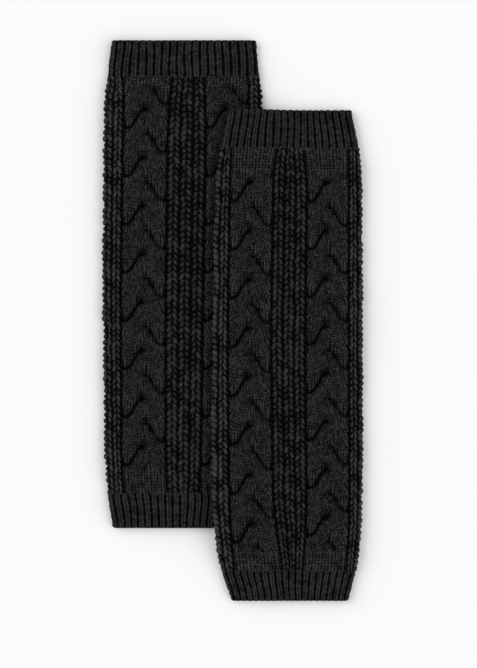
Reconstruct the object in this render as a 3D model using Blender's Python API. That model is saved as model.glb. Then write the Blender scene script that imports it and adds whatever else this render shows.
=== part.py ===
"""A pair of cable-knit leg warmers, laid flat, the second one lying partly on the first.

Each leg warmer is a knitted tube: a ribbed top cuff, a body with a cable down each side of a ribbed
centre band, and a ribbed bottom cuff. It lies flattened, so its front layer rests on its back layer
with a round fold down each side. The under one lies on the surface. The over one lies half on it,
and drapes from it down to the surface past its side fold and past its lower end.

Metres, +Z up, and +Y towards the top cuffs. The origin is on the surface, under the middle of the pair.
"""

import math
from collections import namedtuple

import bmesh
import bpy

# Where the middle of each top edge lies, as x and y.
UNDER_TOP = (-0.0423, 0.2294)
OVER_TOP = (0.0449, 0.1722)

# The cloth.
RIB_WALL = 0.0034
CABLE_SWELL = 0.0010
CUFF_WALL = 0.0028
HEM_WALL = 0.0025
LAYER_GAP = 0.0016
SEAM_GAP = 0.0003
SEAM_BLEND = 0.014
CABLE_BLEND = 0.026

# How the width is shared out: half a side band, a cable, the centre band, a cable, half a side band.
SIDE_SHARE = 0.098
CABLE_SHARE = 0.290

# How the over one comes down to the surface, past the under one's side fold and past its lower end.
REST_GAP = 0.0003
SIDE_FALL = (0.014, 0.034)
END_FALL = (0.016, 0.040)

# The mesh.
RING_PITCH = 0.022
CABLE_STEPS = 4
FOLD_STEPS = 4

# The outline of each piece: how far down from the top edge, and each side's distance from the middle.
Section = namedtuple("Section", "down left right")

UNDER_PIECES = {
    "top_cuff": (
        Section(0.0000, -0.0570, 0.0615),
        Section(0.0135, -0.0590, 0.0625),
        Section(0.0300, -0.0605, 0.0643),
    ),
    "body": (
        Section(0.0300, -0.0613, 0.0652),
        Section(0.0370, -0.0627, 0.0665),
        Section(0.0495, -0.0634, 0.0672),
        Section(0.0900, -0.0642, 0.0672),
        Section(0.2045, -0.0650, 0.0643),
        Section(0.3105, -0.0638, 0.0611),
        Section(0.3435, -0.0630, 0.0594),
        Section(0.3710, -0.0614, 0.0578),
    ),
    "bottom_cuff": (
        Section(0.3710, -0.0608, 0.0572),
        Section(0.3860, -0.0585, 0.0541),
        Section(0.3992, -0.0561, 0.0513),
    ),
}

OVER_PIECES = {
    "top_cuff": (
        Section(0.0000, -0.0486, 0.0527),
        Section(0.0150, -0.0522, 0.0559),
        Section(0.0314, -0.0556, 0.0592),
    ),
    "body": (
        Section(0.0314, -0.0562, 0.0598),
        Section(0.0410, -0.0576, 0.0608),
        Section(0.0575, -0.0592, 0.0616),
        Section(0.0900, -0.0608, 0.0620),
        Section(0.1960, -0.0625, 0.0622),
        Section(0.2780, -0.0637, 0.0624),
        Section(0.3190, -0.0633, 0.0616),
        Section(0.3430, -0.0612, 0.0608),
        Section(0.3595, -0.0592, 0.0598),
        Section(0.3767, -0.0560, 0.0572),
    ),
    "bottom_cuff": (
        Section(0.3767, -0.0554, 0.0566),
        Section(0.3873, -0.0514, 0.0532),
        Section(0.4016, -0.0461, 0.0494),
    ),
}

YARN_COLOUR = (0.012, 0.012, 0.014, 1.0)
YARN_ROUGHNESS = 0.95


def smooth_step(value):
    """Ease from 0 to 1, flat at both ends."""
    t = min(max(value, 0.0), 1.0)
    return t * t * (3.0 - 2.0 * t)


def section_at(sections, down):
    """The outline at a distance down from the top edge, straight between the table's rows."""
    for upper, lower in zip(sections, sections[1:]):
        if down <= lower.down:
            break
    share = (down - upper.down) / (lower.down - upper.down)
    return Section(
        down,
        upper.left + share * (lower.left - upper.left),
        upper.right + share * (lower.right - upper.right),
    )


def stations(sections, start, end):
    """Where a piece's rings lie: at each row, and evenly between rows that are far apart."""
    downs = [start]
    rows = [row.down for row in sections[1:-1]] + [end]
    for target in rows:
        first = downs[-1]
        count = max(1, round((target - first) / RING_PITCH))
        downs += [first + (target - first) * step / count for step in range(1, count + 1)]
    return downs


def body_wall(sections, down):
    """The body's wall: as thin as the cuffs at its seams, and swollen where the cables run."""
    from_seam = min(down - sections[0].down, sections[-1].down - down)
    wall = CUFF_WALL + (RIB_WALL - CUFF_WALL) * smooth_step(from_seam / SEAM_BLEND)
    swell = CABLE_SWELL * smooth_step(from_seam / CABLE_BLEND)
    return wall, swell


def top_cuff_wall(sections, down):
    """The top cuff's wall, thinnest at its open edge."""
    share = (down - sections[0].down) / (sections[-1].down - sections[0].down)
    return HEM_WALL + (CUFF_WALL - HEM_WALL) * smooth_step(share), 0.0


def bottom_cuff_wall(sections, down):
    """The bottom cuff's wall, thinnest at its open edge."""
    share = (sections[-1].down - down) / (sections[-1].down - sections[0].down)
    return HEM_WALL + (CUFF_WALL - HEM_WALL) * smooth_step(share), 0.0


WALLS = {"top_cuff": top_cuff_wall, "body": body_wall, "bottom_cuff": bottom_cuff_wall}


def layer_points(section, wall, swell):
    """Points across one layer, left to right: its place and the wall's thickness there."""
    width = section.right - section.left
    fold_radius = wall + LAYER_GAP / 2
    points = [(section.left + fold_radius, wall)]
    for cable_start in (SIDE_SHARE, 1.0 - SIDE_SHARE - CABLE_SHARE):
        for step in range(CABLE_STEPS + 1):
            share = step / CABLE_STEPS
            x = section.left + width * (cable_start + CABLE_SHARE * share)
            points.append((x, wall + swell * math.sin(math.pi * share)))
        if cable_start == SIDE_SHARE:
            points.append((section.left + width / 2, wall))
    points.append((section.right - fold_radius, wall))
    return points


def fold_points(centre_x, mid_z, radius, side):
    """Points round one side fold, top to bottom, between the two layers' last points."""
    angles = [math.pi * step / FOLD_STEPS for step in range(1, FOLD_STEPS)]
    return [(centre_x + side * radius * math.sin(a), mid_z + radius * math.cos(a)) for a in angles]


def ring(section, wall, swell):
    """The outer and the inner ring of one section, clockwise from the front layer's left end."""
    layer = layer_points(section, wall, swell)
    mid_z = wall + LAYER_GAP / 2
    left_x, right_x = layer[0][0], layer[-1][0]
    rings = []
    for depth in (0.0, 1.0):
        front = [(x, 2 * t + LAYER_GAP - depth * t) for x, t in layer]
        back = [(x, depth * t) for x, t in reversed(layer)]
        radius = mid_z - depth * wall
        right_fold = fold_points(right_x, mid_z, radius, 1)
        left_fold = list(reversed(fold_points(left_x, mid_z, radius, -1)))
        rings.append(front + right_fold + back + left_fold)
    return rings


def on_surface(x, y):
    """The under one lies on the surface all over."""
    return 0.0


def on_under_one(x, y):
    """How high the over one's underside lies: on the under one, and down to the surface beyond it."""
    body, cuff = UNDER_PIECES["body"], UNDER_PIECES["bottom_cuff"]
    down = UNDER_TOP[1] - y
    edge = section_at(body + cuff[1:], min(max(down, body[0].down), cuff[-1].down)).right
    side_edge = UNDER_TOP[0] + edge
    end_edge = UNDER_TOP[1] - cuff[-1].down
    full = 2 * (RIB_WALL + CABLE_SWELL) + LAYER_GAP + REST_GAP
    past_side = (x - side_edge + SIDE_FALL[0]) / sum(SIDE_FALL)
    past_end = (end_edge - y + END_FALL[0]) / sum(END_FALL)
    return full * (1.0 - smooth_step(past_side)) * (1.0 - smooth_step(past_end))


def loft_tube(bm, sections, start, end, wall_at, top, height_at):
    """Loft a tube with a real wall: rings down its outside, rings down its inside, and two open rims."""
    shells = ([], [])
    for down in stations(sections, start, end):
        section = section_at(sections, down)
        wall, swell = wall_at(sections, down)
        for shell, points in zip(shells, ring(section, wall, swell)):
            y = top[1] - down
            shell.append([bm.verts.new((x, -down, z + height_at(top[0] + x, y))) for x, z in points])
    outer, inner = shells
    for shell in shells:
        for first, second in zip(shell, shell[1:]):
            bridge(bm, first, second)
    bridge(bm, outer[0], inner[0])
    bridge(bm, outer[-1], inner[-1])
    bmesh.ops.recalc_face_normals(bm, faces=bm.faces)


def bridge(bm, first, second):
    """Join two rings of the same count with a band of faces."""
    count = len(first)
    for i in range(count):
        j = (i + 1) % count
        bm.faces.new((first[i], first[j], second[j], second[i]))


def yarn_material(name):
    """Soft matt black knitting yarn."""
    material = bpy.data.materials.new(name)
    material.use_nodes = True
    shader = material.node_tree.nodes["Principled BSDF"]
    shader.inputs["Base Color"].default_value = YARN_COLOUR
    shader.inputs["Roughness"].default_value = YARN_ROUGHNESS
    shader.inputs["Metallic"].default_value = 0.0
    return material


def build_leg_warmer(name, pieces, top, height_at, collection):
    """Build one leg warmer's three pieces on an empty at the middle of its top edge."""
    holder = bpy.data.objects.new(name, None)
    holder.location = (top[0], top[1], 0.0)
    collection.objects.link(holder)
    for piece, sections in pieces.items():
        start = sections[0].down + (0.0 if piece == "top_cuff" else SEAM_GAP / 2)
        end = sections[-1].down - (0.0 if piece == "bottom_cuff" else SEAM_GAP / 2)
        bm = bmesh.new()
        loft_tube(bm, sections, start, end, WALLS[piece], top, height_at)
        mesh = bpy.data.meshes.new(f"{name}_{piece}")
        bm.to_mesh(mesh)
        bm.free()
        mesh.shade_smooth()
        mesh.set_sharp_from_angle(angle=math.radians(50))
        mesh.materials.append(yarn_material(f"{name}_{piece}_knit"))
        obj = bpy.data.objects.new(f"{name}_{piece}", mesh)
        obj.parent = holder
        collection.objects.link(obj)


def main():
    """Clear the scene and build the pair."""
    for obj in list(bpy.data.objects):
        bpy.data.objects.remove(obj)
    collection = bpy.data.collections.new("leg_warmers")
    bpy.context.scene.collection.children.link(collection)
    build_leg_warmer("under", UNDER_PIECES, UNDER_TOP, on_surface, collection)
    build_leg_warmer("over", OVER_PIECES, OVER_TOP, on_under_one, collection)


main()
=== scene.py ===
"""The looks of a pair of black cable-knit leg warmers, laid flat, the second partly on the first.

Every piece is worked as a chart of stitches, as it is knitted: columns run round the tube and rows run
down it. The chart is laid on the flattened tube that the frame's solids hold, and each stitch's legs
stand up from it. The cables are plaits of wide strands, whose plain stitches lean with each lobe.

Lengths and places are in metres, with +Z up and +Y towards the top cuffs. Places across are along X,
and places along are along Y.
"""

from __future__ import annotations

import logging
import math
from collections.abc import Callable
from dataclasses import dataclass, field
from enum import Enum

import bmesh
import bpy
import numpy as np
from bpy.types import Material, Mesh, Node, NodeSocket, NodeTree, Object
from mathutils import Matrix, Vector
from numpy import ndarray as Array

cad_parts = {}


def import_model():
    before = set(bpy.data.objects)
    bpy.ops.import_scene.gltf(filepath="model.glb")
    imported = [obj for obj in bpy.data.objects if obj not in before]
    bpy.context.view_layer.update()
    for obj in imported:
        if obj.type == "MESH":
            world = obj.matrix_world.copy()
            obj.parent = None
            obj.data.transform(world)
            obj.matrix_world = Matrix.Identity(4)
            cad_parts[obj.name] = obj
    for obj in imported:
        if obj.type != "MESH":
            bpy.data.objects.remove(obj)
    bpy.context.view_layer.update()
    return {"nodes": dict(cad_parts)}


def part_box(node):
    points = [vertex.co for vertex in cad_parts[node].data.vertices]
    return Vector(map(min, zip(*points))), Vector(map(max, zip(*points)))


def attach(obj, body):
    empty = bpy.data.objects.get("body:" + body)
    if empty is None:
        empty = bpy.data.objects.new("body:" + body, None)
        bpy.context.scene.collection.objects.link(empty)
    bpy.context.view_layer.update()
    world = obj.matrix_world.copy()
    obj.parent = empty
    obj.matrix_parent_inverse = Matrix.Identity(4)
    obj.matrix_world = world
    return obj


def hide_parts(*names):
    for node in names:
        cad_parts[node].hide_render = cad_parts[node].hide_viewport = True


LOG = logging.getLogger("leg_warmers")

MM = 0.001
MERGE = 1e-6

# The attribute of painted shade, darkest between the stitches, and the stitch map that every knitted
# piece carries for its yarn.
SHADE_ATTRIBUTE = "crest"
CHART = "stitches"


class Layer(Enum):
    """The layer of a flattened tube that a cable runs on, and how high its relief may stand."""

    FRONT = "front"
    BACK = "back"

    @property
    def stand(self) -> float:
        """The share of a cable's height that shows; the back layer is pressed flat by the surface."""
        return 1.0 if self is Layer.FRONT else 0.52


class Side(Enum):
    """The side of the centre band that a cable runs on."""

    LEFT = "left"
    RIGHT = "right"


def smooth_step(value: Array | float) -> Array:
    """Ease from 0, where the value is 0 or less, to 1, where it is 1 or more, flat at both ends."""
    t = np.clip(value, 0.0, 1.0)
    return t * t * (3.0 - 2.0 * t)


def linear_colour(code: str) -> tuple[float, float, float, float]:
    """Turn an sRGB hex colour to linear.

    Args:
        code: Six hex digits with a leading #.

    Returns:
        Red, green, blue and an alpha of 1.
    """
    parts = [int(code[i : i + 2], 16) / 255 for i in (1, 3, 5)]
    linear = [c / 12.92 if c <= 0.04045 else ((c + 0.055) / 1.055) ** 2.4 for c in parts]
    return linear[0], linear[1], linear[2], 1.0


def add_node(
    tree: NodeTree, kind: str, inputs: dict[str | int, object] | None = None, **settings: object
) -> Node:
    """Add a node, set it up and link it.

    Args:
        tree: The node tree that gets it.
        kind: Its type, such as ShaderNodeTexNoise.
        inputs: Values or output sockets for its inputs, by name or number.
        settings: Values for its own properties.

    Returns:
        The new node.
    """
    node = tree.nodes.new(kind)
    for name, value in settings.items():
        setattr(node, name, value)
    for key, value in (inputs or {}).items():
        if isinstance(value, NodeSocket):
            tree.links.new(value, node.inputs[key])
        else:
            node.inputs[key].default_value = value
    return node


@dataclass(frozen=True)
class KnitYarn:
    """Soft-spun black yarn, taken for wool and acrylic: matt, with short fibres that catch the light.

    The fuzz and the plies' twist are drawn coarser than life, at about a millimetre, so that they
    show; the stitches themselves are real shape. Deep between the stitches the colour is darkened to
    near black: that is painted shade, not the yarn's own colour.
    """

    name: str
    dark: str
    light: str
    fuzz: float = 1.15 * MM
    fuzz_span: tuple[float, float] = (0.35, 0.65)
    fuzz_tone: tuple[float, float] = (0.02, 1.08)
    patch: float = 14.0 * MM
    patch_tone: float = 0.22
    ply_turns: float = 2.0
    ply_slant: float = 1.6
    ply_share: float = 0.12
    bump: float = 0.8
    bump_depth: float = 0.9 * MM
    roughness: float = 0.88
    specular: float = 0.03
    sheen: float = 0.02
    sheen_roughness: float = 0.5
    sheen_tint: str = "#c8ccd4"

    def build(self) -> Material:
        """Make the material.

        Returns:
            A material whose twist follows the piece's own stitch map.
        """
        material = bpy.data.materials.new(self.name)
        material.use_nodes = True
        tree = material.node_tree
        tree.nodes.clear()
        place = add_node(tree, "ShaderNodeTexCoord").outputs["Object"]
        fibres = {"Vector": place, "Scale": 1 / self.fuzz, "Detail": 2.5, "Roughness": 0.65}
        fuzz = add_node(tree, "ShaderNodeTexNoise", fibres).outputs[0]
        relief = {0: self._twist(tree), 1: self.ply_share, 2: fuzz}
        height = add_node(tree, "ShaderNodeMath", relief, operation="MULTIPLY_ADD").outputs[0]
        stand = {"Strength": self.bump, "Distance": self.bump_depth, "Height": height}
        finish = {
            "Base Color": self._colour(tree, place, fuzz),
            "Roughness": self.roughness,
            "Specular IOR Level": self.specular,
            "Sheen Weight": self.sheen,
            "Sheen Roughness": self.sheen_roughness,
            "Sheen Tint": linear_colour(self.sheen_tint),
            "Normal": add_node(tree, "ShaderNodeBump", stand).outputs["Normal"],
        }
        shader = add_node(tree, "ShaderNodeBsdfPrincipled", finish)
        add_node(tree, "ShaderNodeOutputMaterial", {"Surface": shader.outputs[0]})
        return material

    def _colour(self, tree: NodeTree, place: NodeSocket, fuzz: NodeSocket) -> NodeSocket:
        """Add the yarn's colour: painted shade, near black, between the stitches; paler on each leg's
        fuzz.

        Args:
            tree: The material's node tree.
            place: Where each point lies on the object.
            fuzz: The height of the fuzz.

        Returns:
            The colour's socket.
        """
        cloudy = {"Vector": place, "Scale": 1 / self.patch, "Detail": 2.0, "Roughness": 0.5}
        patches = add_node(tree, "ShaderNodeTexNoise", cloudy).outputs[0]
        # The crest attribute is painted shade: it darkens the colour between the stitches, where shade
        # falls.
        crest = add_node(tree, "ShaderNodeAttribute", attribute_name=SHADE_ATTRIBUTE).outputs["Fac"]
        (low, high), (dull, bright) = self.fuzz_span, self.fuzz_tone
        span = {"Value": fuzz, "From Min": low, "From Max": high, "To Min": dull, "To Max": bright}
        grain = add_node(tree, "ShaderNodeMapRange", span, clamp=False).outputs[0]
        mottle = {0: patches, 1: self.patch_tone, 2: grain}
        uneven = add_node(tree, "ShaderNodeMath", mottle, operation="MULTIPLY_ADD").outputs[0]
        lit = {0: crest, 1: uneven}
        tone = add_node(tree, "ShaderNodeMath", lit, operation="MULTIPLY", use_clamp=True).outputs[0]
        shades = {0: tone, 6: linear_colour(self.dark), 7: linear_colour(self.light)}
        return add_node(tree, "ShaderNodeMix", shades, data_type="RGBA").outputs[2]

    def _twist(self, tree: NodeTree) -> NodeSocket:
        """Add the plies' slanting ridges on the stitch map.

        Args:
            tree: The material's node tree.

        Returns:
            The socket of the ridges' height, from 0 to 1.
        """
        chart = add_node(tree, "ShaderNodeUVMap", uv_map=CHART).outputs[0]
        parts = add_node(tree, "ShaderNodeSeparateXYZ", {0: chart}).outputs
        leg = add_node(tree, "ShaderNodeMath", {0: parts[0], 1: 0.5}, operation="PINGPONG").outputs[0]
        lean = {0: leg, 1: self.ply_slant, 2: parts[1]}
        slant = add_node(tree, "ShaderNodeMath", lean, operation="MULTIPLY_ADD").outputs[0]
        pace = {0: slant, 1: 2 * math.pi * self.ply_turns}
        angle = add_node(tree, "ShaderNodeMath", pace, operation="MULTIPLY").outputs[0]
        wave = add_node(tree, "ShaderNodeMath", {0: angle}, operation="SINE").outputs[0]
        ridge = {0: wave, 1: 0.5, 2: 0.5}
        return add_node(tree, "ShaderNodeMath", ridge, operation="MULTIPLY_ADD").outputs[0]


def chance(seed: int, column: Array, row: Array) -> Array:
    """A number from -1 to 1 for each stitch, by its whole column and row, the same each time."""
    return 2 * np.mod(np.sin(column * 12.9898 + row * 78.233 + seed * 3.7) * 43758.5453, 1.0) - 1


@dataclass(frozen=True)
class Stitch:
    """A column of stitches knitted from the top down: two legs to each row, spreading downwards.

    Sizes across are shares of the column's width, sizes along are shares of a row, and heights are
    shares of the column's relief.
    """

    inner: float
    lean: float
    half: float
    length: float
    body: float
    width: float
    uneven: float
    stagger: float = 0.0

    def height(self, column: Array, row: Array, seed: int) -> Array:
        """The height of the column's surface.

        Args:
            column: Place across, counted in columns; a whole number is a column's left edge.
            row: Place up, counted in rows.
            seed: Which unevenness of the stitches it is.

        Returns:
            Heights from 0 to about 1.
        """
        across = np.mod(column, 1.0) - 0.5
        number = np.floor(column)
        rise = np.sqrt(np.clip(np.cos(np.pi * np.clip(across / self.width, -0.5, 0.5)), 0.0, 1.0))
        best = np.zeros(np.broadcast(across, row).shape)
        for side in (-1.0, 1.0):
            place = -row + (self.stagger if side > 0 else 0.0)
            for above in (-1.0, 0.0, 1.0):
                down = np.mod(place, 1.0) + above
                stitch = np.floor(place) - above
                size = 1 + self.uneven * chance(seed, 2 * number + side, stitch)
                shift = 0.25 * self.uneven * chance(seed + 1, 2 * number + side, stitch)
                middle = side * (self.inner + self.lean * down) + shift * self.half
                thick = np.clip(1 - ((across - middle) / (self.half * size)) ** 2, 0, 1)
                long = np.clip(1 - ((down - 0.5 + shift) / (self.length * size)) ** 2, 0, 1)
                best = np.maximum(best, np.sqrt(thick * long) * size)
        return self.body * rise + (1.0 - self.body) * best


BRIOCHE = Stitch(
    inner=0.135, lean=0.19, half=0.165, length=0.51, body=0.12, width=0.84, uneven=0.24, stagger=0.10
)
CUFF_RIB = Stitch(inner=0.16, lean=0.08, half=0.17, length=0.60, body=0.36, width=0.86, uneven=0.22)
PLAIN = Stitch(inner=0.14, lean=0.12, half=0.17, length=0.50, body=0.12, width=0.90, uneven=0.24)


@dataclass(frozen=True)
class Drape:
    """How the over one comes down from the under one to the surface, past its side and its end.

    Each fall begins so far inside the under one's edge and ends so far outside it.
    """

    solids: Solids
    height: float = 10.7 * MM
    side_fall: tuple[float, float] = (0.014, 0.034)
    end_fall: tuple[float, float] = (0.016, 0.040)

    def lift(self, x: Array, y: Array) -> Array:
        """How high the over one's underside lies.

        Args:
            x: Places across.
            y: Places along.

        Returns:
            Heights, 0 where it lies on the surface.
        """
        edge = self.solids.edge("under", y)[1]
        end = self.solids.span("under")[0]
        past_side = (x - edge + self.side_fall[0]) / sum(self.side_fall)
        past_end = (end - y + self.end_fall[0]) / sum(self.end_fall)
        return self.height * (1.0 - smooth_step(past_side)) * (1.0 - smooth_step(past_end))


class Solids:
    """The outlines of the frame's solids, read from their own meshes."""

    ease = 6.0 * MM

    def __init__(self, nodes: dict[str, Object], slices: int = 60) -> None:
        """Slice each solid across, and keep its left and right edge at each slice.

        Args:
            nodes: The frame's nodes by name.
            slices: How many slices each solid gets.
        """
        self.rings: dict[str, Array] = {}
        for name, obj in nodes.items():
            mesh = obj.data
            points = np.zeros(len(mesh.vertices) * 3)
            mesh.vertices.foreach_get("co", points)
            ends = np.zeros(len(mesh.edges) * 2, dtype=np.int32)
            mesh.edges.foreach_get("vertices", ends)
            pairs = points.reshape(-1, 3)[ends.reshape(-1, 2)]
            first, last = pairs[:, 0], pairs[:, 1]
            low, high = points[1::3].min(), points[1::3].max()
            rows = []
            for level in np.linspace(low, high, slices):
                at = np.clip(level, low + MERGE, high - MERGE)
                cut = (first[:, 1] - at) * (last[:, 1] - at) < 0
                share = (at - first[cut, 1]) / (last[cut, 1] - first[cut, 1])
                x = first[cut, 0] + share * (last[cut, 0] - first[cut, 0])
                rows.append((level, x.min(), x.max()))
            self.rings[name] = np.array(rows)

    def piece_edge(self, node: str, y: Array) -> tuple[Array, Array]:
        """The left and right edge of one solid, its corners eased.

        Args:
            node: The solid's name.
            y: Places along.

        Returns:
            The left edges and the right edges.
        """
        rows = self.rings[node]
        offsets = np.linspace(-self.ease, self.ease, 5)
        near = [np.clip(y + offset, rows[0, 0], rows[-1, 0]) for offset in offsets]
        left, right = (
            np.mean([np.interp(at, rows[:, 0], rows[:, k]) for at in near], axis=0) for k in (1, 2)
        )
        return left, right

    def edge(self, name: str, y: Array) -> tuple[Array, Array]:
        """The left and right edge of a whole leg warmer."""
        rows = np.concatenate([self.rings[f"{name}_{p}"] for p in ("bottom_cuff", "body", "top_cuff")])
        return tuple(np.interp(y, rows[:, 0], rows[:, k]) for k in (1, 2))

    def span(self, name: str) -> tuple[float, float]:
        """The lower end and the upper end of a whole leg warmer."""
        return self.rings[f"{name}_bottom_cuff"][0, 0], self.rings[f"{name}_top_cuff"][-1, 0]


def waves(seed: int, u: Array, v: Array, size: float, count: int = 7) -> Array:
    """Soft unevenness: a sum of slow waves, the same each time for one seed.

    Args:
        seed: Which unevenness it is.
        u: Places one way.
        v: Places the other way.
        size: The length of a typical wave.
        count: How many waves are added up.

    Returns:
        Values of about -1 to 1.
    """
    draw = np.random.default_rng(seed)
    total = np.zeros(np.broadcast(u, v).shape)
    for _ in range(count):
        turn, phase = draw.uniform(0, 2 * math.pi, 2)
        pace = 2 * math.pi / (size * draw.uniform(0.7, 1.6))
        total = total + np.sin(pace * (u * math.cos(turn) + v * math.sin(turn)) + phase)
    return total / math.sqrt(count)


@dataclass
class Tube:
    """The ground of one flattened knitted tube, on which its stitches are laid.

    Round the tube, a place is a distance clockwise from the front layer's left end.
    """

    solids: Solids
    node: str
    relief: float
    half: float
    middle: Callable[[Array], Array]
    lift: Callable[[Array, Array], Array]
    seed: int
    ripple: float = 0.30 * MM
    ripple_size: float = 60.0 * MM
    lowest: float = 0.05 * MM

    def flat(self, y: Array) -> tuple[Array, Array]:
        """Where the front layer's flat part begins, and its width."""
        (left, right), inset = self.solids.piece_edge(self.node, y), self.relief + self.half
        return left + inset, right - left - 2 * inset

    def round(self, y: Array) -> Array:
        """The distance all round."""
        return 2 * self.flat(y)[1] + 2 * math.pi * self.half

    def place(self, around: Array, y: Array, height: Array) -> Array:
        """Lay points on the tube.

        Args:
            around: Places round the tube.
            y: Places along it.
            height: How far each point stands out from the ground.

        Returns:
            Points with the shape of the inputs, and three numbers each.
        """
        around, y, height = np.broadcast_arrays(around, y, height)
        start, width = self.flat(y)
        fold = math.pi * self.half
        at = np.mod(around, 2 * width + 2 * fold)
        right = np.clip((at - width) / self.half, 0.0, math.pi)
        left = np.clip((at - 2 * width - fold) / self.half, 0.0, math.pi)
        angle = right + left
        front = np.clip(at, 0.0, width) - np.clip(at - width - fold, 0.0, width)
        out_x, out_z = np.sin(angle), np.cos(angle)
        x = start + front + self.half * out_x + out_x * height
        ease = 0.5 + 0.5 * out_z
        uneven = self.ripple * ease * waves(self.seed, x, y, self.ripple_size)
        z = np.maximum(self.middle(y) + (self.half + height) * out_z + uneven, self.lowest)
        return np.stack([x, y, z + self.lift(x, y)], axis=-1)


def enclosed(mesh: Mesh) -> float:
    """Measure what a closed mesh encloses.

    Args:
        mesh: The mesh.

    Returns:
        Its volume in cubic metres, negative where its faces point inwards.
    """
    shell = bmesh.new()
    shell.from_mesh(mesh)
    volume = shell.calc_volume(signed=True)
    shell.free()
    return volume


def laid_chart(name: str, points: Array, chart: Array, crest: Array) -> Object:
    """Make a grid, lay it on its points, and close it where its edges meet.

    Args:
        name: The new object's name.
        points: Rows by columns by three.
        chart: Rows by columns by two: the stitch column and row of each point.
        crest: Rows by columns of painted shade: 0, darkest, deep between the stitches, 1 on top
            of a stitch's leg.

    Returns:
        The finished mesh object, smooth and with its faces pointing out.
    """
    rows, columns = points.shape[:2]
    bpy.ops.object.select_all(action="DESELECT")
    bpy.ops.mesh.primitive_grid_add(x_subdivisions=columns - 1, y_subdivisions=rows - 1, size=1.0)
    obj = bpy.context.active_object
    obj.name = obj.data.name = name
    mesh = obj.data
    flat = np.zeros(len(mesh.vertices) * 3)
    mesh.vertices.foreach_get("co", flat)
    flat = flat.reshape(-1, 3)
    column = np.rint((flat[:, 0] + 0.5) * (columns - 1)).astype(int)
    row = np.rint((flat[:, 1] + 0.5) * (rows - 1)).astype(int)
    mesh.vertices.foreach_set("co", points[row, column].ravel())
    # The crest attribute is painted shade: 0 darkens the colour to near black between the stitches.
    painted_shade = mesh.attributes.new(SHADE_ATTRIBUTE, "FLOAT", "POINT")
    painted_shade.data.foreach_set("value", crest[row, column].astype(np.float32).ravel())
    corner = np.zeros(len(mesh.loops), dtype=np.int32)
    mesh.loops.foreach_get("vertex_index", corner)
    layer = mesh.uv_layers.active or mesh.uv_layers.new()
    layer.name = CHART
    layer.data.foreach_set("uv", chart[row[corner], column[corner]].ravel())
    mesh.update()
    bpy.ops.object.mode_set(mode="EDIT")
    bpy.ops.mesh.select_all(action="SELECT")
    bpy.ops.mesh.remove_doubles(threshold=MERGE)
    bpy.ops.mesh.normals_make_consistent(inside=False)
    bpy.ops.object.mode_set(mode="OBJECT")
    if enclosed(mesh) < 0.0:
        bpy.ops.object.mode_set(mode="EDIT")
        bpy.ops.mesh.flip_normals()
        bpy.ops.object.mode_set(mode="OBJECT")
    bpy.ops.object.shade_smooth()
    return obj


def finish_piece(obj: Object, material: Material) -> Object:
    """Dress a piece, and let it ride on the frame.

    Args:
        obj: The piece.
        material: Its yarn.

    Returns:
        The piece.
    """
    obj.data.materials.clear()
    obj.data.materials.append(material)
    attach(obj, "root")
    LOG.info("%s: %d faces", obj.name, len(obj.data.polygons))
    return obj


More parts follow.
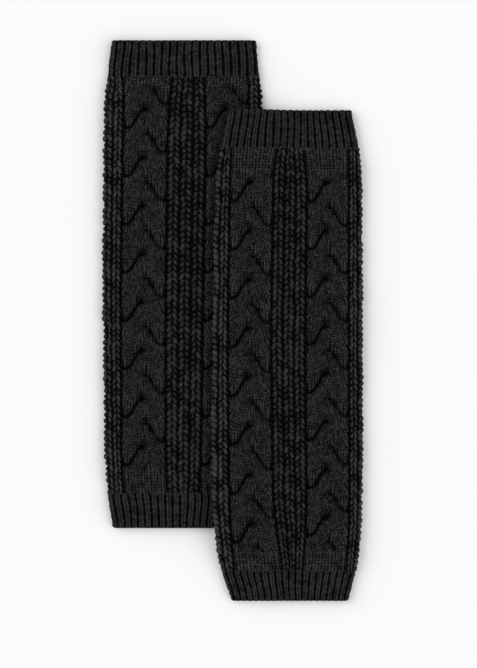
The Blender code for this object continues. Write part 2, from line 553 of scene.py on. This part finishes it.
@dataclass
class Cuff:
    """A cuff in one by one rib, with a rounded open edge. Sizes are in metres and depths are shares.

    It runs from `start`, its seam with the body, to `end`, its open edge.
    """

    tube: Tube
    start: float
    end: float
    band_middle: float
    ribs: int = 38
    per_rib: int = 8
    row: float = 2.16 * MM
    per_row: int = 4
    hem: float = 1.3 * MM
    hem_steps: int = 4
    inside: float = 1.1 * MM
    inside_rows: int = 6
    overlap: float = 3.0 * MM
    rib_end: float = 1.8 * MM
    sunk_end: float = 0.35
    sway: float = 0.50 * MM
    sway_size: float = 36.0 * MM
    scallop: float = 0.6 * MM
    scallop_rise: float = 3.0 * MM
    slack_valley: float = 0.26
    slack_size: float = 24.0 * MM
    hem_valley: float = 0.12
    hem_rise: float = 12.0 * MM
    purl_bump: float = 0.08
    # Below this share of the relief, the stitches are painted darker as shade.
    shade_below: float = 0.24

    @property
    def way(self) -> float:
        """1 where the cuff runs up from its seam, and -1 where it runs down."""
        return math.copysign(1.0, self.end - self.start)

    def build(self, material: Material) -> Object:
        """Make the cuff.

        Args:
            material: The yarn.

        Returns:
            The cuff, standing for its solid.
        """
        across = np.arange(self.ribs * self.per_rib + 1) / self.per_rib
        y, share = self._rows()
        y, share = y[:, None], share[:, None]
        around = self._around(across, y)
        row = y / self.row + 0.04 * np.sin(across * 2.1)[None, :]
        raised = CUFF_RIB.height(np.mod(across, self.ribs)[None, :], row, self.tube.seed)
        raised = np.maximum(raised, self._valleys(across, y, row))
        raised = self._rib_ends(across, y, raised)
        at_hem = 1 - smooth_step(np.abs(self.end - y) / self.scallop_rise)
        drawn_in = self.scallop * at_hem * smooth_step((self._between(across) - 0.4) / 0.6)
        y = y - self.way * drawn_in
        height = -self.inside + share * (self.inside + self.tube.relief * raised)
        points = self.tube.place(around, y, height)
        points[:, -1] = points[:, 0]
        points[-1] = points[0]
        chart = np.stack(np.broadcast_arrays(across[None, :], y / self.row), axis=-1)
        # Painted shade: darker down between the ribs and the legs, darker round the open edge, and
        # darkest on the hidden inside.
        crest = share * smooth_step((raised - self.shade_below) / 0.74)
        made = laid_chart(f"{self.tube.node}_knit", points, chart, crest)
        cuff = finish_piece(made, material)
        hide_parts(self.tube.node)
        return cuff

    def _around(self, across: Array, y: Array) -> Array:
        """Where the columns run round the tube, a rib on the centre band's middle, each swaying.

        Args:
            across: The columns' places, counted in ribs.
            y: Places along.

        Returns:
            Places round the tube.
        """
        start, _ = self.tube.flat(y)
        lean = self.sway * waves(self.tube.seed + 3, across[None, :] * 6 * MM, y, self.sway_size)
        pitch = self.tube.round(y) / self.ribs
        phase = (self.band_middle - start) / pitch - 0.5
        return (across[None, :] + np.mod(phase, 1.0)) * pitch + lean * self._closing(across)

    def _rib_ends(self, across: Array, y: Array, raised: Array) -> Array:
        """Let each rib run on over the body past the seam, and end in its own place.

        Args:
            across: The columns' places, counted in ribs.
            y: Places along.
            raised: The ribs' heights, as shares of the relief.

        Returns:
            The heights, sunk into the body past each rib's end.
        """
        inward = (y - self.start) * self.way
        reach = self.overlap * (0.7 + 0.3 * chance(self.tube.seed + 7, np.floor(across), 0 * across))
        fade = smooth_step((inward + reach[None, :]) / self.rib_end)
        return raised * fade - self.sunk_end * (1 - fade)

    def _valleys(self, across: Array, y: Array, row: Array) -> Array:
        """The purl stitches between the ribs: some pulled open and some closed.

        Args:
            across: The columns' places, counted in ribs.
            y: Places along.
            row: Places along, counted in rows.

        Returns:
            Heights as shares of the relief, 0 on the ribs.
        """
        number = np.mod(np.rint(across), self.ribs)[None, :]
        pull = waves(self.tube.seed + 9, number * 9 * MM, y, self.slack_size)
        slack = 0.5 + 0.5 * np.clip(pull, -1, 1)
        hem = 1 - smooth_step(np.abs(self.end - y) / self.hem_rise)
        bumps = 0.5 - 0.5 * np.cos(2 * math.pi * row)
        level = self.slack_valley * slack + self.hem_valley * hem + self.purl_bump * bumps
        return level * smooth_step((self._between(across) - 0.50) / 0.40)

    @staticmethod
    def _between(across: Array) -> Array:
        """From 0 on the middle of each rib to 1 midway between two ribs."""
        return np.abs(np.mod(across, 1.0) - 0.5)[None, :] / 0.5

    @staticmethod
    def _closing(across: Array) -> Array:
        """Fade unevenness out where the chart's first and last columns meet."""
        near = np.minimum(across, across[-1] - across)
        return smooth_step(near / 2.0)[None, :]

    def _rows(self) -> tuple[Array, Array]:
        """Rows down the outside, over the open edge, back up the inside and round to the first row.

        Returns:
            Places along, and how much of the wall's full thickness each row stands out.
        """
        seam, way = self.start, self.way
        count = max(2, round(abs(self.end - seam) / self.row)) * self.per_row
        turn = np.linspace(0, math.pi / 2, self.hem_steps + 1)[1:]
        first, last = seam - way * self.overlap, self.end - way * self.hem
        outside = np.linspace(first, last, count)
        edge = self.end - way * self.hem * (1 - np.sin(turn))
        inside = np.linspace(last, first, self.inside_rows)
        ys = np.concatenate([outside, edge, inside, [first]])
        shares = np.concatenate([np.ones(count), np.cos(turn), np.zeros(self.inside_rows), [1.0]])
        return ys, shares


@dataclass(frozen=True)
class BandRow:
    """Where the cables and the centre band begin and end, measured from the middle line, at one
    distance down from the top edge.
    """

    down: float
    cable_left: float
    band_left: float
    band_right: float
    cable_right: float


@dataclass
class Body:
    """The body's ground: brioche ribs in bands, and low plain ground under the cables.

    Round the tube, its zones are a cable and a band by turns, eight in all, from the front layer's
    left cable onwards. The even ones are cables.
    """

    tube: Tube
    start: float
    end: float
    middle_x: float
    top: float
    bands: tuple[BandRow, ...]
    turn: float
    per_rib: int = 12
    ribs: int = 3
    cable_columns: int = 8
    row: float = 4.9 * MM
    per_row: int = 6
    rib_offset: float = 0.30
    inside: float = 1.3 * MM
    inside_rows: int = 15
    seam_ease: float = 16.0 * MM
    seam_relief: float = 0.66
    sway: float = 0.45 * MM
    sway_size: float = 16.0 * MM
    swell: float = 0.08
    swell_size: float = 22.0 * MM
    bridge: float = 0.42
    middle_bridge: float = 0.40
    centre_zones: tuple[int, int] = (1, 5)
    # How much darker the centre bands are painted, as shade, than the side bands.
    centre_shade: float = 0.76
    # Below this share of the relief, the stitches are painted darker as shade.
    shade_below: float = 0.25
    tuck: float = 2.0 * MM
    sunk_end: float = 0.4 * MM

    def dive(self, y: Array) -> Array:
        """From 1 on the body to 0 where its ends tuck in under the cuffs."""
        from_seam = np.minimum(self.start - y, y - self.end)
        return smooth_step((from_seam + self.tuck) / (1.2 * self.tuck))

    def knots(self, y: Array) -> Array:
        """Where each cable and band begins round the tube, from the front's left cable onwards.

        Args:
            y: Places along.

        Returns:
            Nine places for each y; the last is the first one again, once round.
        """
        down = self.top - y
        rows = self.bands
        at = [row.down for row in rows]
        names = ("cable_left", "band_left", "band_right", "cable_right")
        start, width = self.tube.flat(y)
        front = [
            self.middle_x + np.interp(down, at, [getattr(row, name) for row in rows]) - start
            for name in names
        ]
        fold = math.pi * self.tube.half
        back = [2 * width + fold - (place - 2 * self.turn) for place in reversed(front)]
        return np.stack([*front, *back, front[0] + self.tube.round(y)], axis=-1)

    def build(self, material: Material) -> Object:
        """Make the ground.

        Args:
            material: The yarn.

        Returns:
            The body's ground, standing for the body's solid.
        """
        zone, local = self._columns()
        in_band = (zone % 2 == 1)[None, :]
        y, share = self._rows()
        knots = self.knots(y)
        y, share = y[:, None], share[:, None]
        low, high = knots[:, zone], knots[:, zone + 1]
        around = low + (high - low) * local
        sway = self.sway * waves(self.tube.seed + 8, around, y, self.sway_size)
        around = around + np.where(in_band, sway * np.sin(math.pi * local), 0.0)
        rib = np.where(in_band, local * self.ribs, 0.0)
        row = (y - self.end) / self.row + self.rib_offset * np.floor(rib) + 0.03 * np.sin(9 * rib)
        raised = BRIOCHE.height(rib + 3 * zone[None, :], row, self.tube.seed)
        raised = np.where(in_band, raised, 0.0)
        raised = np.maximum(raised, self._bridges(rib, in_band | (local == 0.0), row))
        dive = self.dive(y)
        stand = self._relief(around, y) * raised * dive - self.sunk_end * (1 - dive)
        height = -self.inside + share * (self.inside + stand)
        points = self.tube.place(around, y, height)
        points[:, -1] = points[:, 0]
        points[-1] = points[0]
        chart = np.stack(np.broadcast_arrays(rib, row), axis=-1)
        # Painted shade: the centre bands are painted darker than the side bands, the yarn between the
        # stitches darker still, and the inside darkest.
        tone = np.where(np.isin(zone, self.centre_zones), self.centre_shade, 1.0)[None, :]
        crest = tone * share * smooth_step((raised - self.shade_below) / (1 - self.shade_below))
        made = laid_chart(f"{self.tube.node}_ribs", points, chart, crest)
        body = finish_piece(made, material)
        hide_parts(self.tube.node)
        return body

    def _columns(self) -> tuple[Array, Array]:
        """The chart's columns.

        Returns:
            The zone of each column, and its place in that zone, from 0 to 1.
        """
        counts = [self.cable_columns, self.ribs * self.per_rib] * 4
        zone = np.concatenate([np.full(n, i) for i, n in enumerate(counts)] + [[len(counts) - 1]])
        local = np.concatenate([np.arange(n) / n for n in counts] + [[1.0]])
        return zone.astype(int), local[None, :]

    def _relief(self, around: Array, y: Array) -> Array:
        """How high a full rib stands: lower near the seams, and uneven all over.

        Args:
            around: Places round the tube.
            y: Places along.

        Returns:
            Heights.
        """
        from_seam = smooth_step(np.minimum(self.start - y, y - self.end) / self.seam_ease)
        full = self.tube.relief * (self.seam_relief + (1 - self.seam_relief) * from_seam)
        return full * (1.0 + self.swell * waves(self.tube.seed + 5, around, y, self.swell_size))

    def _bridges(self, rib: Array, open_ground: Array, row: Array) -> Array:
        """The threads that cross from rib to rib once a row, with a dark hole between each two.

        Args:
            rib: Places in the band, counted in ribs.
            open_ground: Whether each column lies in a band or at its edge.
            row: Places along, counted in rows.

        Returns:
            Heights as shares of the relief.
        """
        between = np.abs(np.mod(rib, 1.0) - 0.5) / 0.5
        thread = 0.5 - 0.5 * np.cos(2 * math.pi * (row + self.rib_offset * np.rint(rib)))
        inner = 0.5 - 0.5 * np.cos(2 * math.pi * (row + 0.25))
        outer_height = self.bridge * smooth_step((between - 0.4) / 0.5) * thread
        inner_height = self.middle_bridge * smooth_step((0.45 - between) / 0.3) * inner
        return np.where(open_ground, np.maximum(outer_height, inner_height), 0.0)

    def _rows(self) -> tuple[Array, Array]:
        """Rows down the outside, back up the inside and round to the first row.

        Returns:
            Places along, and how much of the wall's full thickness each row stands out.
        """
        count = round((self.start - self.end) / self.row) * self.per_row
        high, low = self.start + self.tuck, self.end - self.tuck
        outside = np.linspace(high, low, count + 1)
        inner = np.linspace(low, high, self.inside_rows)
        ys = np.concatenate([outside, inner, [high]])
        shares = np.concatenate([np.ones(count + 1), np.zeros(self.inside_rows), [1.0]])
        return ys, shares


@dataclass(frozen=True)
class Braid:
    """A plait of wide strands, left over middle, then right over middle, and so on upwards.

    It shows two columns of lobes. Each lobe's upper edge is a groove that comes down from the middle
    line to the outer edge, and the next strand comes out from under it. Heights up the plait are
    places along, and `out` is a distance outwards from the middle line.
    """

    pitch: float
    groove: float
    upper: float
    lower: float
    fall: float = 14.5 * MM
    reach: float = 15.5 * MM
    ease: float = 8.0 * MM
    crown: float = 0.10
    slope: float = 0.76
    tip: float = 0.30

    def plain(self, y: Array) -> Array:
        """From 0 in the plait to 1 in the plain patches near the cuffs."""
        return smooth_step(np.maximum(y - self.upper, self.lower - y) / self.ease)

    def turn(self, out: Array, y: Array, side: float) -> Array:
        """How far up the plait each point lies.

        Args:
            out: Distances outwards from the middle line.
            y: Places along.
            side: -1 for the left column of lobes and 1 for the right one.

        Returns:
            Places counted in lobes from the first groove.
        """
        share = out / self.reach
        tip = self.tip * np.clip((share - 0.92) / 0.22, 0.0, 1.2) ** 2
        bend = smooth_step((share - self.crown) / self.slope) - tip
        start = self.groove + (0.5 * self.pitch if side > 0 else 0.0)
        return (y - start - self.fall * (0.5 - bend)) / self.pitch

    def slant(self, out: Array) -> Array:
        """The cosine of the grooves' slope, which turns a distance along into a distance away."""
        share = np.clip((out / self.reach - self.crown) / self.slope, 0.0, 1.0)
        return 1 / np.hypot(1.0, self.fall / self.reach * 6 * share * (1 - share) / self.slope)


@dataclass(frozen=True)
class Dip:
    """A soft dip in a cable's face that comes back once a crossing.

    `at` is its place in the crossing, from 0 to 1, counted from a left groove's top, and `depth` is a
    share of the deepest dip's.
    """

    across: float
    at: float
    half_width: float
    half_length: float
    depth: float

    def share(self, x: Array, beat: Array, pitch: float) -> Array:
        """From 0 outside the dip to its depth in its middle, for places in a crossing of that pitch."""
        away = (np.mod(beat - self.at + 0.5, 1.0) - 0.5) * pitch / self.half_length
        return self.depth * np.exp(-(((x - self.across) / self.half_width) ** 2) - away**2)


# Where the strands part: slits on the middle line, and wider hollows beside it. Each sinks the face and
# is also painted darker as shade.
SLITS = (Dip(-0.4 * MM, 0.00, 2.6 * MM, 1.6 * MM, 1.00), Dip(1.7 * MM, 0.58, 1.0 * MM, 2.6 * MM, 0.90))
HOLLOWS = (
    Dip(-1.5 * MM, 0.07, 3.8 * MM, 4.0 * MM, 0.95),
    Dip(5.0 * MM, 0.38, 2.8 * MM, 2.8 * MM, 0.80),
    Dip(-1.6 * MM, 0.48, 2.8 * MM, 2.4 * MM, 0.70),
)


@dataclass
class Cable:
    """One cable: a thick braid of plain stitches that stands on the body's ground.

    What is named for the right is a share of the left half's, beside the cable's middle line.
    """

    body: Body
    layer: Layer
    side: Side
    braid: Braid
    columns: int = 76
    row: float = 2.48 * MM
    per_row: int = 5
    back_per_row: int = 2
    wale: float = 2.6 * MM
    wale_drift: float = 8.5 * MM
    row_lean: float = 0.38
    crest: float = 3.7 * MM
    plain_crest: float = 1.7 * MM
    plain_ease: float = 7.0 * MM
    stitch: float = 1.2 * MM
    stitch_middle: float = 0.6
    rise: float = 12.0 * MM
    rise_share: float = 0.45
    brow: float = 4.6 * MM
    brow_share: float = 0.50
    right_firm: float = 0.9
    right_crease: float = 0.80
    crease_width: float = 1.55 * MM
    middle_drop: float = 1.1 * MM
    middle_width: float = 3.4 * MM
    drop: float = 1.9 * MM
    hollow_shade: float = 0.72
    edge: float = 16.9 * MM
    edge_round: float = 3.6 * MM
    skirt: float = 0.3 * MM
    scallop: float = 2.2 * MM
    pinch_above: tuple[float, float] = (0.45, 5.0 * MM)
    pinch_below: tuple[float, float] = (0.80, 4.5 * MM)
    nominal: float = 35.5 * MM
    buried: float = 0.6 * MM
    underside: float = 1.1 * MM
    underside_half: float = 13.52 * MM
    # The painted shade deepest between the stitches.
    deepest_shade: float = 0.04
    name: str = field(init=False)

    def __post_init__(self) -> None:
        """Name the cable for its place."""
        piece = self.body.tube.node.replace("_body", "")
        self.name = f"{piece}_{self.layer.value}_{self.side.value}_cable"

    def build(self, material: Material) -> Object:
        """Make the cable as a closed slab: its face, and a flat underside in the ground.

        Args:
            material: The yarn.

        Returns:
            The cable.
        """
        fine = self.layer is Layer.FRONT
        columns = self.columns if fine else self.columns // 2
        per_row = self.per_row if fine else self.back_per_row
        count = round((self.body.start - self.body.end) / self.row) * per_row
        tuck = self.body.tuck
        y = np.linspace(self.body.start + tuck, self.body.end - tuck, count + 1)[:, None]
        x = np.linspace(-1, 1, columns + 1)[None, :] * (self.edge + self.skirt)
        height, crest, chart = self._face(x, y)
        under = np.array([[1.0, 0.0, -1.0]]) * self.underside_half
        x = np.concatenate([x, under, x[:, :1]], axis=1)
        low = np.full((len(y), 3), -self.underside)
        height = np.concatenate([height, low, height[:, :1]], axis=1)
        crest = np.concatenate([crest, 0 * low, crest[:, :1]], axis=1)
        chart = np.concatenate([chart, chart[:, -3:], chart[:, :1]], axis=1)
        points = self._place(x, y, height * self.layer.stand)
        ends = [np.broadcast_to(points[i].mean(axis=0), points[:1].shape) for i in (0, -1)]
        points = np.concatenate([ends[0], points, ends[1]])
        crest = np.concatenate([crest[:1], crest, crest[-1:]])
        chart = np.concatenate([chart[:1], chart, chart[-1:]])
        made = laid_chart(self.name, points, chart, crest)
        return finish_piece(made, material)

    def _place(self, offset: Array, y: Array, height: Array) -> Array:
        """Lay points on the tube, beside the cable's middle.

        Args:
            offset: Places across from the cable's middle.
            y: Places along.
            height: Heights above the ground.

        Returns:
            Points with three numbers each.
        """
        knots = self.body.knots(y)
        zone = {
            (Layer.FRONT, Side.LEFT): 0,
            (Layer.FRONT, Side.RIGHT): 2,
            (Layer.BACK, Side.RIGHT): 4,
            (Layer.BACK, Side.LEFT): 6,
        }[self.layer, self.side]
        low, high = knots[..., zone], knots[..., zone + 1]
        around = (low + high) / 2 + offset * (high - low) / self.nominal
        return self.body.tube.place(around, y, height)

    def _face(self, x: Array, y: Array) -> tuple[Array, Array, Array]:
        """The cable's face.

        Args:
            x: Places across from the cable's middle.
            y: Places along.

        Returns:
            Heights above the ground, the painted shade of each point (0 darkest), and the stitch chart.
        """
        braid = self.braid
        x, y = np.broadcast_arrays(x, y)
        out = np.abs(x)
        turn = np.where(x < 0, braid.turn(out, y, -1.0), braid.turn(out, y, 1.0))
        up = turn - np.floor(turn)
        length = braid.pitch * braid.slant(out)
        above, below = up * length, (1 - up) * length
        plain = braid.plain(y)
        beat = np.mod((y - braid.groove - braid.fall / 2) / braid.pitch, 1.0)
        near = np.minimum(above, below) / self.crease_width
        crease = np.where(x < 0, 1.0, self.right_crease) * np.exp(-(near**2))
        slit = np.max([dip.share(x, beat, braid.pitch) for dip in SLITS], axis=0)
        hollow = np.max([dip.share(x, beat, braid.pitch) for dip in HOLLOWS], axis=0)
        height = self._lobes(x, above, below, beat) - self.drop * (crease + slit + hollow)
        from_seam = np.minimum(self.body.start - y, y - self.body.end)
        flat = self.plain_crest * (0.45 + 0.55 * smooth_step(from_seam / self.plain_ease))
        height = height + plain * (flat - height)
        edge = self._edge(out, above, below, plain) * self.body.dive(y)
        stitches, chart = self._stitches(x, y, up, plain)
        relief = self.stitch * (stitches - self.stitch_middle)
        height = (height + relief) * edge - self.buried * (1 - edge)
        # Painted shade: darker in the creases, slits and hollows, down at the cable's outer edges, and
        # between the stitches.
        groove_shade = 1 - (1 - plain) * np.maximum(crease, slit)
        groove_shade = groove_shade * (1 - self.hollow_shade * (1 - plain) * hollow)
        lit = self.deepest_shade + (1 - self.deepest_shade) * smooth_step((stitches - 0.15) / 0.75)
        return height, groove_shade * smooth_step(edge / 0.8) * lit, chart

    def _lobes(self, x: Array, above: Array, below: Array, beat: Array) -> Array:
        """The plait's lobes: each is low where it comes out from under the one below, and round at
        its upper edge, and on the middle line left and right take turns to lie on top.

        Args:
            x: Places across from the cable's middle.
            above: Distances up from each lobe's lower groove.
            below: Distances down from its upper groove.
            beat: Places in the crossing, from 0 to 1.

        Returns:
            Heights above the ground.
        """
        firm = np.where(x < 0, 1.0, self.right_firm)
        rising = 1 - self.rise_share * firm * (1 - smooth_step(above / self.rise))
        curve = 1 - np.sqrt(1 - (1 - np.clip(below / self.brow, 0, 1)) ** 2)
        rounded = 1 - self.brow_share * firm * curve
        left_over = 2 * smooth_step(np.abs(beat - 0.75) / 0.25 - 0.5) - 1
        dives = np.clip(left_over * np.where(x < 0, -1.0, 1.0), 0, 1)
        middle = self.middle_drop * dives * np.exp(-((x / self.middle_width) ** 2))
        return self.crest * rising * rounded - middle

    def _edge(self, out: Array, above: Array, below: Array, plain: Array) -> Array:
        """The cable's round outer edges, drawn in where each groove meets them.

        Args:
            out: Distances from the middle line.
            above: Distances up from each lobe's lower groove.
            below: Distances down from its upper groove.
            plain: From 0 in the plait to 1 in a plain patch.

        Returns:
            Shares of the full height, 0 outside the cable.
        """
        pulls = ((above, self.pinch_above), (below, self.pinch_below))
        pinch = np.max([share * (1 - smooth_step(away / size)) for away, (share, size) in pulls], axis=0)
        inside = np.clip((self.edge - self.scallop * pinch * (1 - plain) - out) / self.edge_round, 0, 1)
        return np.sqrt(1 - (1 - inside) ** 2)

    def _stitches(self, x: Array, y: Array, up: Array, plain: Array) -> tuple[Array, Array]:
        """The plain stitches, which lean outwards as each lobe climbs.

        Args:
            x: Places across from the cable's middle.
            y: Places along.
            up: Places up each lobe, from 0 to 1.
            plain: From 0 in the plait to 1 in a plain patch.

        Returns:
            The stitches' heights from 0 to about 1, and the stitch chart.
        """
        out, side = np.abs(x), np.where(x < 0, -1.0, 1.0)
        drift = self.wale_drift * smooth_step((up - 0.15) / 0.85)
        lean = self.row_lean * smooth_step((up - 0.1) / 0.5)
        in_lobe = plain < 0.5
        wale = np.where(in_lobe, side * (out + drift), x) / self.wale
        row = (y - np.where(in_lobe, lean * (out - self.edge / 2), 0.0)) / self.row
        seed = self.body.tube.seed + (plain > 0.5)
        return PLAIN.height(wale + 40 * (x > 0), row, seed), np.stack([wale, row], axis=-1)


@dataclass(frozen=True)
class Pattern:
    """What differs between the two leg warmers."""

    name: str
    middle_x: float
    turn: float
    bands: tuple[BandRow, ...]
    left: Braid
    right: Braid
    drape: Drape | None
    seed: int


@dataclass
class LegWarmer:
    """One leg warmer: two cuffs, a ribbed ground and four cables."""

    pattern: Pattern
    solids: Solids
    yarns: dict[str, Material]
    body_relief: float = 2.7 * MM
    body_half: float = 1.6 * MM
    cuff_relief: float = 2.0 * MM
    cuff_half: float = 1.4 * MM
    middle: float = 3.6 * MM
    swell: float = 0.7 * MM
    swell_ease: float = 14.0 * MM
    seam: float = 0.1 * MM

    def build(self) -> None:
        name = self.pattern.name
        low, high = (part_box(f"{name}_body")[i][1] for i in (0, 1))
        bottom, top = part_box(f"{name}_bottom_cuff")[0][1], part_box(f"{name}_top_cuff")[1][1]
        body = self._body(low, high, top)
        self._cuff(body, "top_cuff", high, top)
        self._cuff(body, "bottom_cuff", low, bottom)

    def _lift(self, x: Array, y: Array) -> Array:
        """How high the underside lies above the surface."""
        drape = self.pattern.drape
        return drape.lift(x, y) if drape else np.zeros(np.broadcast(x, y).shape)

    def _tube(self, piece: str, relief: float, half: float, middle: Callable) -> Tube:
        """The tube on which one piece is laid."""
        node = f"{self.pattern.name}_{piece}"
        return Tube(self.solids, node, relief, half, middle, self._lift, self.pattern.seed + len(piece))

    def _body(self, low: float, high: float, top: float) -> Body:
        """Make the body's ground and its cables.

        Args:
            low: Where the body ends, in metres along.
            high: Where it begins.
            top: Where the top cuff's open edge lies.

        Returns:
            The body.
        """

        def middle(y: Array) -> Array:
            """The height of the body's middle plane, lower near its seams."""
            near = np.minimum(high - y, y - low)
            return self.middle + self.swell * smooth_step(near / self.swell_ease)

        pattern = self.pattern
        tube = self._tube("body", self.body_relief, self.body_half, middle)
        start, end = high + self.seam, low - self.seam
        body = Body(tube, start, end, pattern.middle_x, top, pattern.bands, pattern.turn)
        ground = body.build(self.yarns["cable"])
        for layer in Layer:
            for side, braid in ((Side.LEFT, pattern.left), (Side.RIGHT, pattern.right)):
                Cable(body, layer, side, braid).build(self.yarns["cable"])
        float(tube.round(np.array([(low + high) / 2]))[0])
        return body

    def _cuff(self, body: Body, piece: str, seam_y: float, open_y: float) -> None:
        """Make one cuff, its ribs in line with the body's centre band.

        Args:
            body: The body that it is knitted on to.
            piece: Which cuff it is.
            seam_y: Where it meets the body, in metres along.
            open_y: Where its open edge lies.
        """
        at_seam = np.array([seam_y])
        knots = body.knots(at_seam)[0]
        start = body.tube.flat(at_seam)[0][0]
        band_middle = float((knots[1] + knots[2]) / 2 + start)
        tube = self._tube(piece, self.cuff_relief, self.cuff_half, lambda y: self.middle + 0 * y)
        cuff = Cuff(tube, seam_y, open_y, band_middle)
        made = cuff.build(self.yarns["cuff"])
        around = float(cuff.tube.round(np.array([(seam_y + open_y) / 2]))[0])


@dataclass(frozen=True)
class Softbox:
    """One large, distant softbox: its name, the way its light travels, and watts per square metre."""

    name: str
    towards: tuple[float, float, float]
    strength: float


@dataclass
class Studio:
    """A pale surface, soft light all round and a camera straight above."""

    view_height: float = 0.5453
    distance: float = 2.0
    aim: tuple[float, float] = (0.0045, -0.0110)
    focus: float = 8.0 * MM
    sensor: float = 36.0
    surface: float = 8.0
    fill: float = 0.60
    spread: float = 60.0
    softboxes: tuple[Softbox, ...] = (
        Softbox("left_softbox", (1.50, -0.60, -1.0), 1.62),
        Softbox("right_softbox", (-1.50, 0.50, -1.0), 1.26),
    )

    def build(self) -> None:
        """Make the surface, the lights and the camera."""
        self._surface()
        self._world()
        for softbox in self.softboxes:
            self._light(softbox)
        self._camera()
        view = bpy.context.scene.view_settings
        view.view_transform = "Standard"
        view.look = "None"

    def _surface(self) -> None:
        """A plain white table, larger than the view."""
        bpy.ops.object.select_all(action="DESELECT")
        bpy.ops.mesh.primitive_plane_add(size=self.surface)
        table = bpy.context.active_object
        table.name = "white_surface"
        material = bpy.data.materials.new("white_card")
        material.use_nodes = True
        tree = material.node_tree
        tree.nodes.clear()
        # Matt white card, with next to no shine.
        card = {"Base Color": linear_colour("#f4f3f4"), "Roughness": 0.9, "Specular IOR Level": 0.1}
        shader = add_node(tree, "ShaderNodeBsdfPrincipled", card)
        add_node(tree, "ShaderNodeOutputMaterial", {"Surface": shader.outputs[0]})
        table.data.materials.append(material)

    def _world(self) -> None:
        """Even white light from all round."""
        world = bpy.data.worlds.new("studio_light")
        world.use_nodes = True
        shade = world.node_tree.nodes["Background"]
        shade.inputs["Color"].default_value = linear_colour("#fdfdff")
        shade.inputs["Strength"].default_value = self.fill
        bpy.context.scene.world = world

    def _light(self, softbox: Softbox) -> None:
        """Add one softbox.

        Args:
            softbox: What it is.
        """
        towards = Vector(softbox.towards)
        bpy.ops.object.light_add(type="SUN", location=-2 * towards)
        light = bpy.context.active_object
        light.name = softbox.name
        light.data.energy = softbox.strength
        light.data.angle = math.radians(self.spread)
        light.rotation_euler = towards.to_track_quat("-Z", "Y").to_euler()

    def _camera(self) -> None:
        """A long lens, looking straight down."""
        place = (*self.aim, self.distance + self.focus)
        bpy.ops.object.camera_add(location=place, rotation=(0, 0, 0))
        camera = bpy.context.active_object
        camera.name = "camera"
        camera.data.sensor_width = self.sensor
        camera.data.lens = self.sensor * self.distance / self.view_height
        camera.data.clip_end = 10 * self.distance
        bpy.context.scene.camera = camera


# The bands' edges: read by eye off enlarged views of the photo, turned to metres by a scratch
# script, and rounded to half a millimetre.
UNDER_BANDS = (
    BandRow(0.030, -0.0485, -0.0065, 0.0185, 0.0555),
    BandRow(0.050, -0.0470, -0.0095, 0.0195, 0.0555),
    BandRow(0.090, -0.0480, -0.0110, 0.0200, 0.0555),
    BandRow(0.205, -0.0495, -0.0125, 0.0180, 0.0530),
    BandRow(0.340, -0.0490, -0.0125, 0.0160, 0.0500),
    BandRow(0.371, -0.0475, -0.0110, 0.0145, 0.0480),
)

OVER_BANDS = (
    BandRow(0.031, -0.0465, -0.0080, 0.0120, 0.0500),
    BandRow(0.041, -0.0470, -0.0105, 0.0135, 0.0500),
    BandRow(0.058, -0.0475, -0.0120, 0.0155, 0.0500),
    BandRow(0.196, -0.0495, -0.0140, 0.0140, 0.0500),
    BandRow(0.319, -0.0480, -0.0120, 0.0150, 0.0505),
    BandRow(0.343, -0.0470, -0.0090, 0.0145, 0.0500),
    BandRow(0.377, -0.0440, -0.0040, 0.0115, 0.0480),
)


def patterns(solids: Solids) -> tuple[Pattern, Pattern]:
    """The two leg warmers' patterns.

    Args:
        solids: The outlines of the frame's solids.

    Returns:
        The under one and the over one.
    """
    under_plait = Braid(39.4 * MM, 0.1649, upper=0.1880, lower=-0.1180)
    over_left = Braid(39.65 * MM, 0.1045, upper=0.1140, lower=-0.1850)
    over_right = Braid(38.95 * MM, 0.1045, upper=0.1140, lower=-0.1850)
    under = Pattern("under", -0.0423, 2.2 * MM, UNDER_BANDS, under_plait, under_plait, None, 11)
    over = Pattern("over", 0.0449, 0.0, OVER_BANDS, over_left, over_right, Drape(solids), 23)
    return under, over


def main() -> None:
    """Load the frame, build the pair and its studio, and log each piece's face count."""
    logging.basicConfig(level=logging.INFO, format="%(message)s")
    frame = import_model()
    bpy.ops.object.select_all(action="DESELECT")
    solids = Solids(frame["nodes"])
    # Each yarn's first colour is painted shade, deep between the stitches; its second is the yarn's own
    # colour on top of the stitches.
    cable = KnitYarn("cable_wool_knit", "#020203", "#464649")
    cuff = KnitYarn("cuff_wool_knit", "#020203", "#3b3b3e")
    yarns = {"cable": cable.build(), "cuff": cuff.build()}
    for pattern in patterns(solids):
        LegWarmer(pattern, solids, yarns).build()
    Studio().build()


if __name__ == "__main__":
    main()
